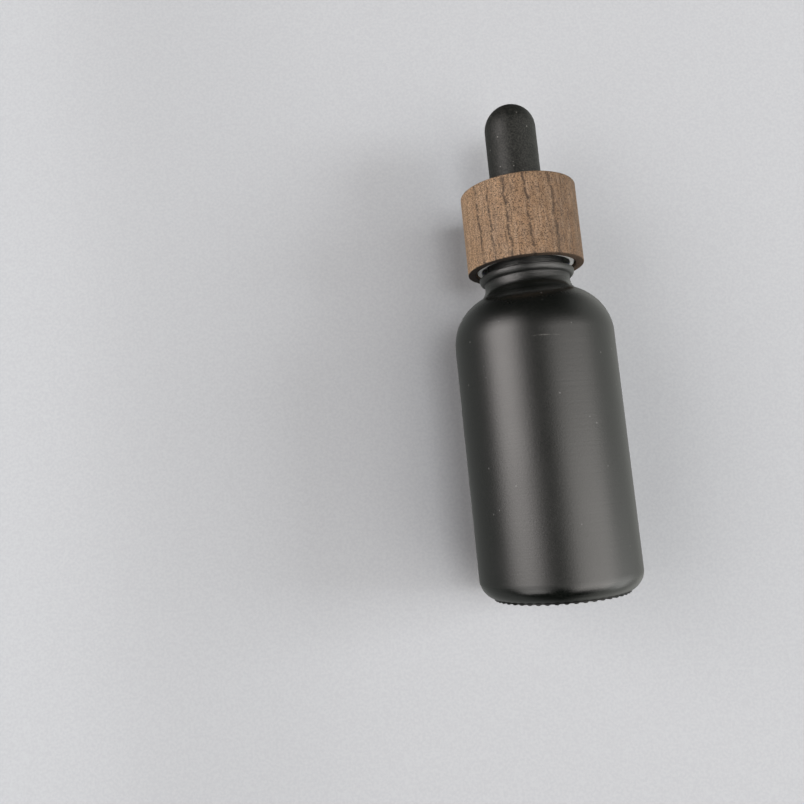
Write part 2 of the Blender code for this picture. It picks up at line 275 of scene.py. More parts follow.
class Finish:
    """A node material under construction. Lengths in it are metres, on the object's own coordinates."""

    def __init__(self, name, **values):
        self.material = bpy.data.materials.new(name)
        self.material.use_nodes = True
        self.tree = self.material.node_tree
        self.shader = self.tree.nodes["Principled BSDF"]
        for key, value in values.items():
            self.shader.inputs[key.replace("_", " ")].default_value = value
        self.place = self.tree.nodes.new("ShaderNodeTexCoord").outputs["Object"]

    def node(self, kind, inputs=(), **settings):
        node = self.tree.nodes.new("ShaderNode" + kind)
        for key, value in settings.items():
            setattr(node, key, value)
        for key, value in dict(inputs).items():
            if isinstance(value, bpy.types.NodeSocket):
                self.tree.links.new(value, node.inputs[key])
            else:
                node.inputs[key].default_value = value
        return node

    def math(self, operation, a, b=0.0):
        return self.node("Math", {0: a, 1: b}, operation=operation).outputs[0]

    def stretched(self, scale):
        """Coordinates with a scale of their own along x, y and z."""
        return self.node("Mapping", {"Vector": self.place, "Scale": scale}).outputs[0]

    def noise(self, scale, detail=3.0, roughness=0.5, place=None):
        given = {"Vector": place or self.place, "Scale": scale, "Detail": detail, "Roughness": roughness}
        return self.node("TexNoise", given).outputs[0]

    def ranged(self, value, low, high, to_low=0.0, to_high=1.0, soft=False):
        """The value's share of the way from low to high, held at the ends."""
        given = {0: value, 1: low, 2: high, 3: to_low, 4: to_high}
        kind = "SMOOTHSTEP" if soft else "LINEAR"
        return self.node("MapRange", given, interpolation_type=kind).outputs[0]

    def mix(self, factor, a, b, blend="MIX"):
        node = self.tree.nodes.new("ShaderNodeMix")
        node.data_type = "RGBA"
        node.blend_type = blend
        for socket, value in ((node.inputs[0], factor), (node.inputs[6], a), (node.inputs[7], b)):
            if isinstance(value, bpy.types.NodeSocket):
                self.tree.links.new(value, socket)
            elif isinstance(value, tuple):
                socket.default_value = (*value, 1.0)
            else:
                socket.default_value = value
        return node.outputs[2]

    def ramp(self, value, stops):
        """A grey ramp through stops (position, grey)."""
        node = self.tree.nodes.new("ShaderNodeValToRGB")
        elements = node.color_ramp.elements
        while len(elements) > 1:
            elements.remove(elements[-1])
        for index, (position, grey) in enumerate(stops):
            element = elements[0] if index == 0 else elements.new(position)
            element.position = position
            element.color = (grey, grey, grey, 1.0)
        self.tree.links.new(value, node.inputs[0])
        return node.outputs[0]

    def split(self, place=None):
        return self.node("SeparateXYZ", {0: place or self.place}).outputs

    def specks(self, scale, share, size):
        """Sparse round specks: 1 in the middle of a speck, 0 between them."""
        cells = self.node("TexVoronoi", {"Vector": self.place, "Scale": scale})
        chosen = self.math("GREATER_THAN", self.split(cells.outputs["Color"])[0], 1.0 - share)
        return self.math("MULTIPLY", self.ranged(cells.outputs["Distance"], size, size * 0.5), chosen)

    def bump(self, height, strength, distance):
        return self.node("Bump", {"Height": height, "Strength": strength, "Distance": distance}).outputs[0]

    def set(self, **links):
        """Links each named input of the shader, and gives the material."""
        for key, value in links.items():
            self.tree.links.new(value, self.shader.inputs[key.replace("_", " ")])
        return self.material


def shoulder_scratch(f, x, y, height):
    """A short pale scuff across the front of the shoulder."""
    bow = f.math("MULTIPLY", f.math("MULTIPLY", x, x), SCUFF_BOW)
    off = f.math("ABSOLUTE", f.math("SUBTRACT", f.math("SUBTRACT", height, SCUFF_Z), bow))
    along = f.math("ABSOLUTE", f.math("SUBTRACT", x, SCUFF_X))
    mark = f.math("MULTIPLY", f.ranged(off, *SCUFF_HALF_WIDTH), f.ranged(along, *SCUFF_HALF_LENGTH))
    mark = f.math("MULTIPLY", mark, f.math("LESS_THAN", y, 0.0))
    return f.math("MULTIPLY", mark, f.ranged(f.noise(1500.0, 2.0), 0.40, 0.60))


def frosted_glass():
    """Etched black glass: smoother on the shoulder's top and low on the heel, streaked at the neck."""
    f = Finish("frosted_black_glass", IOR=1.5, Specular_IOR_Level=0.75)
    broad = f.noise(90.0, 3.0)
    grain = f.noise(2700.0, 3.0, 0.7)
    dust = f.specks(800.0, 0.035, 0.17)
    x, y, height = f.split()
    dust = f.math("MULTIPLY", dust, f.ranged(height, *DUSTY_GLASS))
    waist = f.ranged(height, *WAIST_GLASS, soft=True)
    thin = f.math("SUBTRACT", f.ranged(height, *SHOULDER_TOP_GLASS, soft=True), waist)
    thin = f.math("ADD", thin, f.ranged(height, *LOW_HEEL_GLASS, 0.0, 1.7, soft=True))
    streaks = f.noise(1.0, 3.0, 0.6, place=f.stretched((260.0, 260.0, 5200.0)))
    streaks = f.math("MULTIPLY", f.ranged(streaks, 0.35, 0.68), waist)
    rings = f.noise(1.0, 3.0, 0.6, place=f.stretched((60.0, 60.0, 2600.0)))
    colour = f.mix(f.ranged(grain, 0.35, 0.65), (0.0004, 0.0014, 0.0008), (0.0058, 0.0064, 0.0056))
    colour = f.mix(f.math("MULTIPLY", streaks, 0.5), colour, (0.020, 0.021, 0.021))
    colour = f.mix(f.math("MULTIPLY", dust, 0.35), colour, (0.25, 0.25, 0.25))
    colour = f.mix(f.math("MULTIPLY", shoulder_scratch(f, x, y, height), 0.5), colour, (0.16, 0.16, 0.15))
    rough = f.ranged(broad, 0.3, 0.7, 0.335, 0.375)
    rough = f.math("SUBTRACT", rough, f.math("MULTIPLY", thin, 0.12))
    rough = f.math("ADD", rough, f.math("MULTIPLY", grain, 0.03))
    relief = f.math("ADD", grain, f.math("MULTIPLY", streaks, 1.6))
    relief = f.math("ADD", relief, f.math("MULTIPLY", rings, 0.7))
    return f.set(Base_Color=colour, Roughness=rough, Normal=f.bump(relief, 0.50, 0.00004))


def smooth_glass():
    """The unetched inside of the bottle."""
    f = Finish("smooth_black_glass", IOR=1.5)
    wave = f.noise(260.0, 2.0)
    colour = f.mix(wave, (0.006, 0.007, 0.007), (0.011, 0.012, 0.012))
    rough = f.ranged(wave, 0.3, 0.7, 0.06, 0.13)
    return f.set(Base_Color=colour, Roughness=rough, Normal=f.bump(wave, 0.15, 0.0002))


def knurled_glass():
    """The standing ring and its moulded teeth, dull and dark."""
    f = Finish("knurled_black_glass", IOR=1.5, Specular_IOR_Level=0.22)
    wear = f.noise(1500.0, 3.0)
    colour = f.mix(wear, (0.0008, 0.0010, 0.0008), (0.0034, 0.0036, 0.0034))
    rough = f.ranged(wear, 0.3, 0.7, 0.34, 0.46)
    return f.set(Base_Color=colour, Roughness=rough, Normal=f.bump(wear, 0.2, 0.00004))


# Dark pore lines of the collar's front, as (degrees round from the front, strength, half-width in degrees).
PORE_LINES = (
    (-74.0, 0.45, 1.8),
    (-60.0, 0.40, 1.5),
    (-43.0, 1.00, 2.2),
    (-29.0, 0.95, 1.8),
    (-24.0, 0.50, 1.2),
    (-11.5, 1.00, 2.1),
    (8.5, 1.00, 2.0),
    (34.5, 0.85, 2.4),
    (53.0, 0.40, 1.5),
    (71.0, 0.45, 1.8),
)
PORE_SLANT = 3.5  # how far the lines lean, in radians round per metre of height


def pore_stops():
    """Stops of a ramp over the front's half turn: 0 between lines, a line's strength at its middle."""
    stops = [(0.0, 0.0)]
    for angle, strength, half in PORE_LINES:
        middle = (angle + 90.0) / 180.0
        stops += [(middle - half / 180.0, 0.0), (middle, strength), (middle + half / 180.0, 0.0)]
    return stops


def walnut():
    """Tan open-grained wood: mottled ground, fine speckle, and dark broken pore lines along the axis.

    The back repeats the front's lines.
    """
    f = Finish("walnut_wood", IOR=1.45)
    x, y, z = f.split()
    ground = f.noise(1.0, 4.0, 0.6, place=f.stretched((420.0, 420.0, 75.0)))
    ray = f.noise(1.0, 3.0, 0.6, place=f.stretched((1500.0, 1500.0, 190.0)))
    speckle = f.noise(4300.0, 3.0, 0.8)
    warm = f.noise(520.0, 3.0, 0.6)
    tan = f.mix(ground, (0.300, 0.180, 0.098), (0.520, 0.342, 0.200))
    brown = f.mix(ground, (0.072, 0.036, 0.016), (0.180, 0.096, 0.046))
    band = f.noise(1.0, 2.0, 0.5, place=f.stretched((170.0, 170.0, 22.0)))
    across = f.math("ADD", x, f.ranged(band, 0.3, 0.7, -0.0020, 0.0020))
    colour = f.mix(f.ranged(across, -0.0132, 0.0080), tan, brown)
    colour = f.mix(f.ranged(ray, 0.48, 0.66, 0.0, 0.45), colour, f.mix(0.5, colour, (0.560, 0.430, 0.320)))
    colour = f.mix(f.ranged(warm, 0.40, 0.64, 0.0, 0.35), colour, f.mix(0.6, colour, (0.330, 0.165, 0.062)))
    dark = f.mix(0.90, colour, (0.030, 0.017, 0.010))
    colour = f.mix(f.ranged(speckle, 0.42, 0.54), dark, f.mix(0.10, colour, (0.82, 0.62, 0.43)))
    wander = f.noise(1.0, 4.0, 0.6, place=f.stretched((90.0, 90.0, 300.0)))
    turn = f.math("ARCTAN2", x, f.math("MULTIPLY", y, -1.0))
    turn = f.math("ADD", turn, f.ranged(wander, 0.25, 0.75, -0.045, 0.045))
    middle_z = (COLLAR_LOW.z + COLLAR_HIGH.z) / 2
    turn = f.math("ADD", turn, f.math("MULTIPLY", f.math("SUBTRACT", z, middle_z), PORE_SLANT))
    across = f.math("FRACT", f.math("ADD", f.math("DIVIDE", turn, math.pi), 0.5))
    lines = f.ramp(across, pore_stops())
    breaks = f.noise(1.0, 3.0, 0.7, place=f.stretched((260.0, 260.0, 760.0)))
    lines = f.math("MULTIPLY", lines, f.ranged(breaks, 0.38, 0.52, 0.12, 1.0))
    top = f.ranged(z, *WOOD_TOP, soft=True)
    lines = f.math("MULTIPLY", lines, f.math("SUBTRACT", 1.0, top))
    hair = f.noise(1.0, 2.0, 0.5, place=f.stretched((2600.0, 2600.0, 260.0)))
    hair = f.ranged(hair, 0.60, 0.72, 0.0, 0.60)
    pores = f.math("MAXIMUM", lines, hair)
    colour = f.mix(f.math("MULTIPLY", pores, 0.94), colour, (0.026, 0.016, 0.011))
    colour = f.mix(f.math("MULTIPLY", top, 0.35), colour, (0.050, 0.030, 0.019))
    # The lower end face is darkened: darker end grain, plus painted shade that deepens towards its −x side.
    end = f.ranged(z, *WOOD_END_GRAIN_AND_SHADE, soft=True)
    end = f.math("MULTIPLY", end, f.ranged(x, -0.004, 0.012, 0.97, 0.50))
    colour = f.mix(end, colour, (0.010, 0.006, 0.004))
    rough = f.math("ADD", f.ranged(ground, 0.3, 0.7, 0.62, 0.78), f.math("MULTIPLY", end, 0.2))
    relief = f.math("SUBTRACT", f.math("MULTIPLY", speckle, 0.6), pores)
    return f.set(Base_Color=colour, Roughness=rough, Normal=f.bump(relief, 0.65, 0.00014))


def black_rubber():
    """Matte rubber with a fine moulded grain, a trace of bloom and a few specks of dust."""
    f = Finish("black_rubber", IOR=1.5, Specular_IOR_Level=0.42)
    bloom = f.noise(320.0, 3.0)
    grain = f.noise(2800.0, 3.0, 0.7)
    dust = f.specks(1100.0, 0.07, 0.20)
    colour = f.mix(f.ranged(grain, 0.42, 0.60), (0.0010, 0.0020, 0.0012), (0.0210, 0.0215, 0.0190))
    colour = f.mix(f.math("MULTIPLY", dust, 0.5), colour, (0.32, 0.32, 0.30))
    rough = f.ranged(bloom, 0.3, 0.7, 0.46, 0.58)
    return f.set(Base_Color=colour, Roughness=rough, Normal=f.bump(grain, 0.9, 0.00006))


def white_plastic():
    """Injection-moulded polypropylene, slightly mottled."""
    f = Finish("white_polypropylene", IOR=1.49, Subsurface_Weight=0.08)
    cloud = f.noise(420.0, 3.0)
    fine = f.noise(3800.0, 2.0)
    colour = f.mix(cloud, (0.800, 0.800, 0.790), (0.880, 0.880, 0.872))
    rough = f.ranged(fine, 0.3, 0.7, 0.34, 0.46)
    return f.set(Base_Color=colour, Roughness=rough, Normal=f.bump(fine, 0.12, 0.00003))


def ivory_liner():
    """The pressed foam ring that seals the lip."""
    f = Finish("ivory_liner", IOR=1.45)
    cells = f.noise(2400.0, 4.0, 0.7)
    colour = f.mix(cells, (0.62, 0.60, 0.53), (0.76, 0.745, 0.68))
    rough = f.ranged(cells, 0.3, 0.7, 0.5, 0.66)
    return f.set(Base_Color=colour, Roughness=rough, Normal=f.bump(cells, 0.3, 0.00005))


def clear_glass():
    """Drawn clear tube: faint waviness along it and a trace of green."""
    f = Finish("clear_glass", IOR=1.5, Transmission_Weight=1.0)
    wave = f.noise(1.0, 2.0, 0.5, place=f.stretched((500.0, 500.0, 90.0)))
    colour = f.mix(wave, (0.900, 0.955, 0.935), (0.975, 0.990, 0.985))
    rough = f.ranged(wave, 0.3, 0.7, 0.0, 0.03)
    return f.set(Base_Color=colour, Roughness=rough, Normal=f.bump(wave, 0.08, 0.0001))


# The object ---------------------------------------------------------------------------------------


def shoulder_to_neck(shoulder_radius, neck_radius, fillet, neck_z=None, shoulder_z=None):
    """Heights of the shoulder's and the fillet's centres, and the angle where the two arcs meet."""
    across = neck_radius + fillet - (BODY_RADIUS - SHOULDER_RADIUS)
    up = math.sqrt((shoulder_radius + fillet) ** 2 - across**2)
    if shoulder_z is None:
        shoulder_z = neck_z - up
    return shoulder_z, shoulder_z + up, math.degrees(math.atan2(up, across))


def push_up():
    """The hollow of the underside, from the axis out to the standing ring."""
    points = [(0.0, PUSH_UP)]
    for row in range(1, PUSH_UP_ROWS + 1):
        share = row / PUSH_UP_ROWS
        points.append((RING_INNER * share, PUSH_UP * math.cos(share * math.pi / 2) ** PUSH_UP_FULLNESS))
    return points


def standing_ring(wall_top):
    """The flat that the bottle stands on and the ring's outer wall, in close steps for the knurl."""
    knurl_start = RING_OUTER - KNURL_LENGTH
    edge_r = RING_OUTER - RING_EDGE
    points = line((RING_INNER, 0.0), (knurl_start, 0.0), step=0.0006)
    points += line((knurl_start, 0.0), (edge_r, 0.0), step=0.00022)
    points += arc((edge_r, RING_EDGE), RING_EDGE, -90.0, 0.0, step=30.0)[1:]
    points += line((RING_OUTER, RING_EDGE), (RING_OUTER, wall_top), step=0.00006)
    return points


def bead():
    """The bead under the thread, from the waist to the neck. Its underside is a quarter ellipse."""
    bead_r = WAIST_RADIUS + BEAD_PROUD
    under_r = WAIST_RADIUS + BEAD_ROOT
    under_z = BEAD_TOP - BEAD_ROUNDING - BEAD_SIDE
    fillet = (WAIST_RADIUS + BEAD_FILLET, BEAD_BOTTOM - BEAD_FILLET)
    points = arc(fillet, BEAD_FILLET, 180.0, 90.0, step=30.0)[1:]
    for degrees in range(-90, 1, 9):
        out = math.cos(math.radians(degrees)) * (bead_r - under_r)
        up = math.sin(math.radians(degrees)) * (under_z - BEAD_BOTTOM)
        points.append((under_r + out, under_z + up))
    rounding = (bead_r - BEAD_ROUNDING, BEAD_TOP - BEAD_ROUNDING)
    points += arc(rounding, BEAD_ROUNDING, 0.0, 90.0, step=12.0)
    points += arc((NECK_RADIUS + NECK_FILLET, BEAD_TOP + NECK_FILLET), NECK_FILLET, 270.0, 180.0, step=30.0)
    return points


def bottle_outside():
    """The outline from the middle of the underside up to the lip, and the height of the shoulder's centre."""
    heel = (BODY_RADIUS - HEEL_RADIUS, RING_PROUD + HEEL_RADIUS)
    centre_r = BODY_RADIUS - SHOULDER_RADIUS
    shoulder_z, fillet_z, tangent = shoulder_to_neck(
        SHOULDER_RADIUS, WAIST_RADIUS, WAIST_FILLET, neck_z=WAIST_Z
    )
    ring_angle = math.degrees(math.acos((RING_OUTER - heel[0]) / HEEL_RADIUS))
    outside = push_up()
    outside += standing_ring(heel[1] - HEEL_RADIUS * math.sin(math.radians(ring_angle)))
    outside += arc(heel, HEEL_RADIUS, -ring_angle, 0.0, step=3.0)[1:]
    outside += line((BODY_RADIUS, heel[1]), (BODY_RADIUS, shoulder_z), step=0.003)
    outside += arc((centre_r, shoulder_z), SHOULDER_RADIUS, 0.0, tangent, step=3.0)[1:]
    fillet = (WAIST_RADIUS + WAIST_FILLET, fillet_z)
    outside += arc(fillet, WAIST_FILLET, 180.0 + tangent, 180.0, step=5.0)[1:]
    outside += line((WAIST_RADIUS, WAIST_Z), (WAIST_RADIUS, BEAD_BOTTOM - BEAD_FILLET / 2), step=0.0003)
    outside += bead()
    lip_z = LIP_Z - LIP_ROUNDING
    outside += line((NECK_RADIUS, BEAD_TOP + NECK_FILLET), (NECK_RADIUS, lip_z), step=THREAD_STEP)
    outside += arc((NECK_RADIUS - LIP_ROUNDING, lip_z), LIP_ROUNDING, 0.0, 90.0, step=12.0)[1:]
    return outside, shoulder_z


def bottle_inside(shoulder_z):
    """The outline from the lip down the bore to the middle of the floor."""
    lip_z = LIP_Z - LIP_ROUNDING
    centre_r = BODY_RADIUS - SHOULDER_RADIUS
    inner_radius = SHOULDER_RADIUS - BODY_WALL
    _, fillet_z, tangent = shoulder_to_neck(inner_radius, NECK_BORE, INNER_FILLET, shoulder_z=shoulder_z)
    inside = arc((NECK_BORE + LIP_ROUNDING, lip_z), LIP_ROUNDING, 90.0, 180.0, step=12.0)
    inside += line((NECK_BORE, lip_z), (NECK_BORE, fillet_z), step=0.002)
    inside += arc((NECK_BORE + INNER_FILLET, fillet_z), INNER_FILLET, 180.0, 180.0 + tangent, step=9.0)[1:]
    inside += arc((centre_r, shoulder_z), inner_radius, tangent, 0.0, step=6.0)[1:]
    wall_r = BODY_RADIUS - BODY_WALL
    heel = (wall_r - INNER_HEEL_RADIUS, FLOOR_Z + INNER_HEEL_RADIUS)
    inside += line((wall_r, shoulder_z), (wall_r, heel[1]), step=0.006)
    inside += arc(heel, INNER_HEEL_RADIUS, 0.0, -90.0, step=9.0)[1:]
    inside += [(heel[0] * 0.5, FLOOR_Z), (0.0, FLOOR_Z)]
    return inside


def bottle_form(r, z, angle):
    """Adds the knurl of the standing ring and the neck's thread to the turned bottle."""
    tooth = 0.5 - 0.5 * np.cos(KNURL_COUNT * (angle - math.radians(KNURL_PHASE)))
    reach = smooth((r - (RING_OUTER - KNURL_LENGTH)) / KNURL_RUN_IN)
    on_ring = (r <= RING_OUTER + WELD) & (z < KNURL_TOP)
    z = np.maximum(z, KNURL_DEPTH * tooth**KNURL_SHARPNESS * reach * on_ring)
    on_neck = (r > NECK_BORE + NECK_WALL / 2) & (z > BEAD_TOP)
    thread = on_thread(z, angle, THREAD_TURNS, THREAD_FADE)
    return r + THREAD_DEPTH * thread * on_neck, z


def make_bottle():
    """One closed shell of glass, with a material each for its outside, its inside and the standing ring."""
    outside, shoulder_z = bottle_outside()
    inside = bottle_inside(shoulder_z)
    frosted, smooth_inside, knurled = range(3)

    def kind(row):
        if row >= len(outside):
            return smooth_inside
        radius, height = outside[row]
        on_ring = RING_INNER - WELD <= radius <= RING_OUTER + WELD and height < KNURL_DEPTH
        return knurled if on_ring else frosted

    bottle = turned(
        "frosted_glass_bottle",
        outside + inside,
        BOTTLE_SIDES,
        form=bottle_form,
        material_of=kind,
        materials=(frosted_glass(), smooth_glass(), knurled_glass()),
    )
    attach(bottle, "bottle")
    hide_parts("glass_bottle")


def make_collar():
    """The turned wooden shell, its edges eased and faintly uneven from the lathe."""
    low, high, outer = COLLAR_LOW.z, COLLAR_HIGH.z, COLLAR_HIGH.x
    bore = CAP_HIGH.x + FIT_GAP
    under = high - COLLAR_TOP
    edge, mouth, fine = COLLAR_EDGE, COLLAR_MOUTH_EDGE, COLLAR_FINE_EDGE
    outline = arc((outer - mouth, low + mouth), mouth, -90.0, 0.0, step=18.0)
    outline += line((outer, low + mouth), (outer, high - edge), step=0.0005)
    outline += arc((outer - edge, high - edge), edge, 0.0, 90.0, step=12.0)[1:]
    outline += line((outer - edge, high), (BULB_HOLE + fine, high), step=0.0008)
    outline += arc((BULB_HOLE + fine, high - fine), fine, 90.0, 180.0, step=30.0)[1:]
    outline += line((BULB_HOLE, high - fine), (BULB_HOLE, under), step=0.0006)
    outline += line((BULB_HOLE, under), (bore, under), step=0.0012)
    outline += line((bore, under), (bore, low + fine), step=0.0010)
    outline += arc((bore + fine, low + fine), fine, 180.0, 270.0, step=30.0)[1:]

    def lathed(r, z, angle):
        out_of_round = COLLAR_OUT_OF_ROUND * np.sin(3.0 * angle + 1.0)
        tool_marks = TOOL_MARK_DEPTH * np.sin(z * TOOL_MARK_PITCH)
        on_outside = r > outer - edge - WELD
        return r + (out_of_round + tool_marks) * on_outside, z

    collar = turned("turned_wood_collar", outline, COLLAR_SIDES, form=lathed, materials=(walnut(),))
    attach(collar, "cap")
    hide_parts("wood_collar")


def make_inner_cap():
    """The threaded plastic cap that the wood is pressed over."""
    low, high, outer = CAP_LOW.z, CAP_HIGH.z, CAP_HIGH.x
    bore = outer - CAP_WALL
    under = high - CAP_TOP
    edge, mouth = CAP_EDGE, CAP_MOUTH_EDGE
    outline = arc((outer - edge, low + edge), edge, -90.0, 0.0, step=30.0)
    outline += line((outer, low + edge), (outer, high), step=0.0016)
    outline += line((outer, high), (BULB_HOLE, high), step=0.0012)
    outline += line((BULB_HOLE, high), (BULB_HOLE, under), step=0.0007)
    outline += line((BULB_HOLE, under), (bore, under), step=0.0009)
    outline += line((bore, under), (bore, low + mouth), step=0.00018)
    outline += arc((bore + mouth, low + mouth), mouth, 180.0, 270.0, step=18.0)[1:]

    def tapped(r, z, angle):
        threaded = (z < under - GROOVE_BELOW_TOP) & (z > low + GROOVE_ABOVE_MOUTH)
        on_bore = (np.abs(r - bore) < WELD) & threaded
        return r + GROOVE_DEPTH * on_thread(z, angle, GROOVE_TURNS, GROOVE_FADE) * on_bore, z

    cap = turned("threaded_inner_cap", outline, CAP_SIDES, form=tapped, materials=(white_plastic(),))
    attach(cap, "cap")
    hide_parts("inner_cap")


def make_bulb():
    """The hollow bulb, its flange rolled at the edge."""
    low = BULB_LOW.z
    flange_top = low + BULB_FLANGE
    flange_r = BULB_HIGH.x
    dome_z = BULB_HIGH.z - BULB_RADIUS
    sleeve_top = low + BULB_SLEEVE
    edge, fillet, step_edge = BULB_EDGE, BULB_FILLET, BULB_STEP_EDGE
    outline = [(0.0, dome_z + CAVITY_RADIUS)]
    outline += arc((0.0, dome_z), CAVITY_RADIUS, 90.0, 0.0, step=9.0)[1:]
    outline += line((CAVITY_RADIUS, dome_z), (CAVITY_RADIUS, sleeve_top), step=0.0010)
    outline += [(SLEEVE_BORE + step_edge, sleeve_top), (SLEEVE_BORE, sleeve_top - step_edge)]
    outline += line((SLEEVE_BORE, sleeve_top - step_edge), (SLEEVE_BORE, low), step=0.0008)
    outline += line((SLEEVE_BORE, low), (flange_r - edge, low), step=0.0010)
    outline += arc((flange_r - edge, low + edge), edge, -90.0, 0.0, step=30.0)[1:]
    outline += arc((flange_r - edge, flange_top - edge), edge, 0.0, 90.0, step=30.0)
    outline += line((flange_r - edge, flange_top), (BULB_RADIUS + fillet, flange_top), step=0.0010)
    outline += arc((BULB_RADIUS + fillet, flange_top + fillet), fillet, 270.0, 180.0, step=30.0)[1:]
    outline += line((BULB_RADIUS, flange_top + fillet), (BULB_RADIUS, dome_z), step=0.0007)
    outline += arc((0.0, dome_z), BULB_RADIUS, 0.0, 90.0, step=4.0)[1:-1]
    outline += [(0.0, dome_z + BULB_RADIUS)]
    bulb = turned("moulded_rubber_bulb", outline, BULB_SIDES, materials=(black_rubber(),))
    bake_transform(bulb)
    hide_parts("rubber_bulb")


def make_pipette():
    """The drawn tube: a straight tip, a smooth taper, the tube and a flared top."""
    low, high = PIPETTE_LOW.z, PIPETTE_HIGH.z
    bore = PIPETTE_RADIUS - PIPETTE_WALL
    flare_r = PIPETTE_HIGH.x
    flare_z = high - PIPETTE_FLARE_HEIGHT
    taper_z = low + TIP_LENGTH
    tube_z = taper_z + TAPER_LENGTH
    ease = PIPETTE_EASE

    def taper(tip_radius, tube_radius):
        shares = np.linspace(0.0, 1.0, TAPER_ROWS + 1)[1:]
        radii = [tip_radius + (tube_radius - tip_radius) * float(smooth(share)) for share in shares]
        return list(zip(radii, taper_z + (tube_z - taper_z) * shares))

    outline = [(TIP_BORE, low), (TIP_RADIUS - ease, low), (TIP_RADIUS, low + ease), (TIP_RADIUS, taper_z)]
    outline += taper(TIP_RADIUS, PIPETTE_RADIUS)
    outline += line((PIPETTE_RADIUS, tube_z), (PIPETTE_RADIUS, flare_z - FLARE_OPENS_BELOW), step=0.004)
    outline += [(PIPETTE_RADIUS + FLARE_FOOT_OUT, flare_z - FLARE_FOOT_BELOW)]
    outline += [(flare_r - ease, flare_z + ease)]
    outline += [(flare_r, flare_z + 3 * ease), (flare_r, high - 2 * ease), (flare_r - 2 * ease, high)]
    outline += [(bore + 2 * ease, high), (bore, high - 2 * ease)]
    outline += line((bore, high - 2 * ease), (bore, tube_z), step=0.004)
    outline += reversed(taper(TIP_BORE, bore)[:-1])
    outline += [(TIP_BORE, taper_z)]
    pipette = turned("drawn_glass_pipette", outline, PIPETTE_SIDES, materials=(clear_glass(),))
    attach(pipette, "pipette")
    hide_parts("glass_pipette")


def make_washer():
    """The flat ring between the bulb's flange and the lip, its edges eased."""
    low, high, outer = WASHER_LOW.z, WASHER_HIGH.z, WASHER_HIGH.x
    ease = WASHER_EASE
    outline = arc((outer - ease, low + ease), ease, -90.0, 0.0, step=30.0)
    outline += arc((outer - ease, high - ease), ease, 0.0, 90.0, step=30.0)
    outline += arc((SLEEVE_BORE + ease, high - ease), ease, 90.0, 180.0, step=30.0)
    outline += arc((SLEEVE_BORE + ease, low + ease), ease, 180.0, 270.0, step=30.0)
    washer = turned("pressed_seal_washer", outline, WASHER_SIDES, materials=(ivory_liner(),))
    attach(washer, "washer")
    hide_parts("seal_washer")


# Table, camera and light --------------------------------------------------------------------------

CAMERA_PLACE = (0.0, -0.16855, 0.02392)
CAMERA_YAW = 9.8425  # degrees, to the left
CAMERA_PITCH = 6.3156  # degrees, upwards
CAMERA_ROLL = -5.3737  # degrees
LENS_MM = 35.7786
SENSOR_MM = 36.0
TABLE_HALF = 0.6
TABLE_MIDDLE_Z = 0.045
TABLE_GAP = 0.0001
TABLE_STEPS = 24
# Places along x where the table's painted light and painted shadow change, each from where the change starts
# to where it is complete
TABLE_PAINTED_LIGHT_LEFT = (-0.080, -0.130)
TABLE_PAINTED_SHADE_FROM_LEFT = (-0.110, -0.080)
TABLE_PAINTED_SHADE_FROM_RIGHT = (-0.035, -0.070)


def make_camera():
    """The photograph's view, fitted to the bottle's outline."""
    data = bpy.data.cameras.new("camera")
    data.sensor_width = SENSOR_MM
    data.lens = LENS_MM
    data.clip_start = 0.005
    data.clip_end = 20.0
    camera = bpy.data.objects.new("camera", data)
    bpy.context.scene.collection.objects.link(camera)
    turn = Matrix.Rotation(math.radians(CAMERA_YAW), 4, "Z")
    turn = turn @ Matrix.Rotation(math.radians(90.0 + CAMERA_PITCH), 4, "X")
    turn = turn @ Matrix.Rotation(math.radians(CAMERA_ROLL), 4, "Z")
    camera.matrix_world = Matrix.Translation(CAMERA_PLACE) @ turn
    bpy.context.scene.camera = camera


